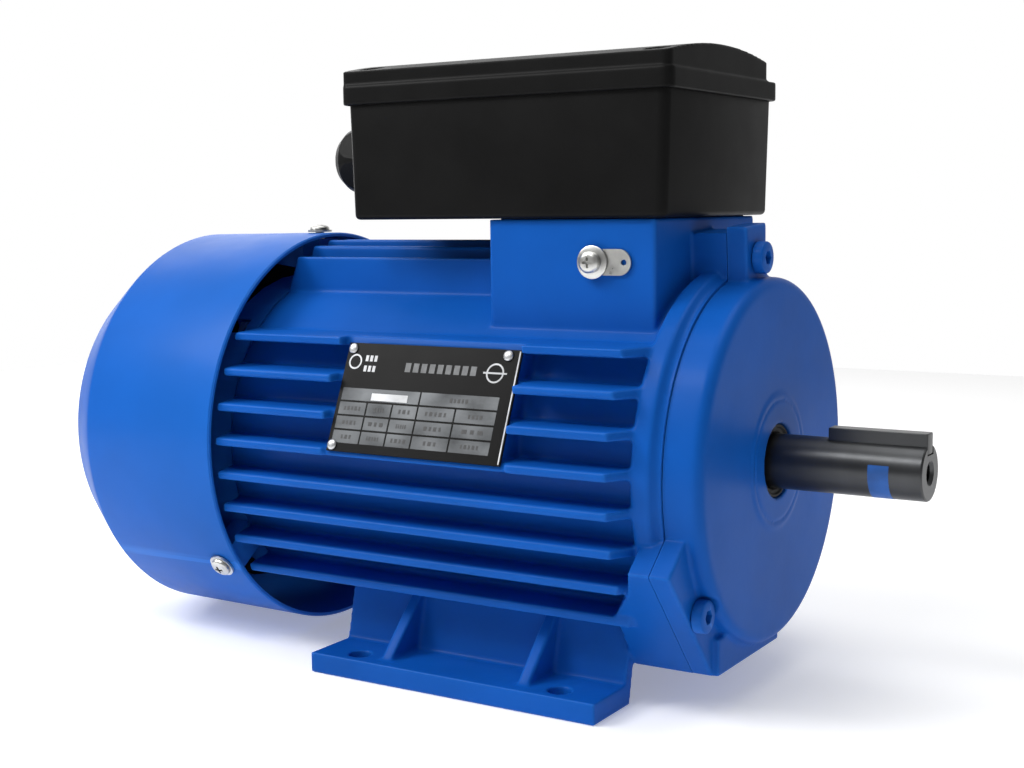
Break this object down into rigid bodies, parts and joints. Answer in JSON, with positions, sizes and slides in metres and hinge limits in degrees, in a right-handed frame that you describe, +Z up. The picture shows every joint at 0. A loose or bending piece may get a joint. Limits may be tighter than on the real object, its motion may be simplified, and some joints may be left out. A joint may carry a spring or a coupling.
{
  "type": "electric motor",
  "caption": "Foot-mounted fan-cooled electric motor with finned body, end shields, rear fan cowl, top terminal box and a keyed output shaft that turns in ball bearings.",
  "frame": {"origin": "middle of the overall box's base, on the plane the feet stand on", "axes": "+X along the shaft towards its keyed free end, +Y away from the nameplate side, +Z up from the feet"},
  "size_m": [0.3302, 0.158, 0.2226],
  "materials": {
    "blue_paint": "blue enamel over cast and pressed metal",
    "black_plastic": "satin black moulding",
    "shaft_steel": "turned dark steel",
    "lamination_steel": "stacked electrical sheet",
    "winding_copper": "enamelled copper wire",
    "cast_aluminium": "plain",
    "rivet_aluminium": "bright",
    "plated_steel": "bright zinc",
    "sealing_rubber": "matt",
    "terminal_brass": "plain",
    "board_phenolic": "moulded",
    "label_plate": "black printed metal"
  },
  "bodies": {
    "housing": {"frame": "blue_paint", "drive_end_shield": "blue_paint", "rear_end_shield": "blue_paint", "stator_core": "lamination_steel", "stator_winding": "winding_copper", "drive_bearing_outer_ring": "plated_steel", "rear_bearing_outer_ring": "plated_steel", "wave_washer": "plated_steel", "shaft_seal": "sealing_rubber", "fan_cowl": "blue_paint", "cowl_screw_1": "plated_steel", "cowl_screw_2": "plated_steel", "cowl_screw_3": "plated_steel", "shield_bolt_1": "blue_paint", "shield_bolt_2": "blue_paint", "shield_bolt_3": "blue_paint", "rear_shield_bolt_1": "plated_steel", "rear_shield_bolt_2": "plated_steel", "rear_shield_bolt_3": "plated_steel", "terminal_box": "black_plastic", "box_gasket": "sealing_rubber", "box_lid": "black_plastic", "lid_gasket": "sealing_rubber", "lid_screw_1": "plated_steel", "lid_screw_2": "plated_steel", "lid_screw_3": "plated_steel", "lid_screw_4": "plated_steel", "terminal_board": "board_phenolic", "terminal_stud_1": "terminal_brass", "terminal_stud_2": "terminal_brass", "terminal_stud_3": "terminal_brass", "terminal_stud_4": "terminal_brass", "run_capacitor": "cast_aluminium", "capacitor_clamp": "plated_steel", "gland_body": "black_plastic", "gland_seal": "sealing_rubber", "gland_nut": "black_plastic", "gland_locknut": "black_plastic", "earth_bolt": "plated_steel", "earth_washer": "plated_steel", "earth_tag": "plated_steel", "nameplate": "label_plate", "nameplate_rivet_1": "rivet_aluminium", "nameplate_rivet_2": "rivet_aluminium", "nameplate_rivet_3": "rivet_aluminium", "box_screw_1": "plated_steel", "box_screw_2": "plated_steel", "box_screw_3": "plated_steel", "box_screw_4": "plated_steel"},
    "rotor": {"shaft": "shaft_steel", "rotor_core": "lamination_steel", "rotor_cage": "cast_aluminium", "shaft_key": "shaft_steel", "drive_bearing_inner_ring": "plated_steel", "rear_bearing_inner_ring": "plated_steel", "fan": "black_plastic", "fan_circlip": "plated_steel"},
    "drive_ball_cage": {"drive_bearing_ball_cage": "plated_steel"},
    "rear_ball_cage": {"rear_bearing_ball_cage": "plated_steel"}
  },
  "joints": [
    {"name": "rotor_spin", "type": "hinge", "parent": "housing", "child": "rotor", "pos_m": [0, 0, 0.08], "axis": [1, 0, 0], "continuous": true},
    {"name": "drive_cage_spin", "type": "hinge", "parent": "housing", "child": "drive_ball_cage", "pos_m": [0.101, 0, 0.08], "axis": [1, 0, 0], "continuous": true},
    {"name": "rear_cage_spin", "type": "hinge", "parent": "housing", "child": "rear_ball_cage", "pos_m": [-0.0925, 0, 0.08], "axis": [1, 0, 0], "continuous": true}
  ],
  "couplings": [
    {"joint": "drive_cage_spin", "follows": "rotor_spin", "ratio": 0.384},
    {"joint": "rear_cage_spin", "follows": "rotor_spin", "ratio": 0.388}
  ]
}
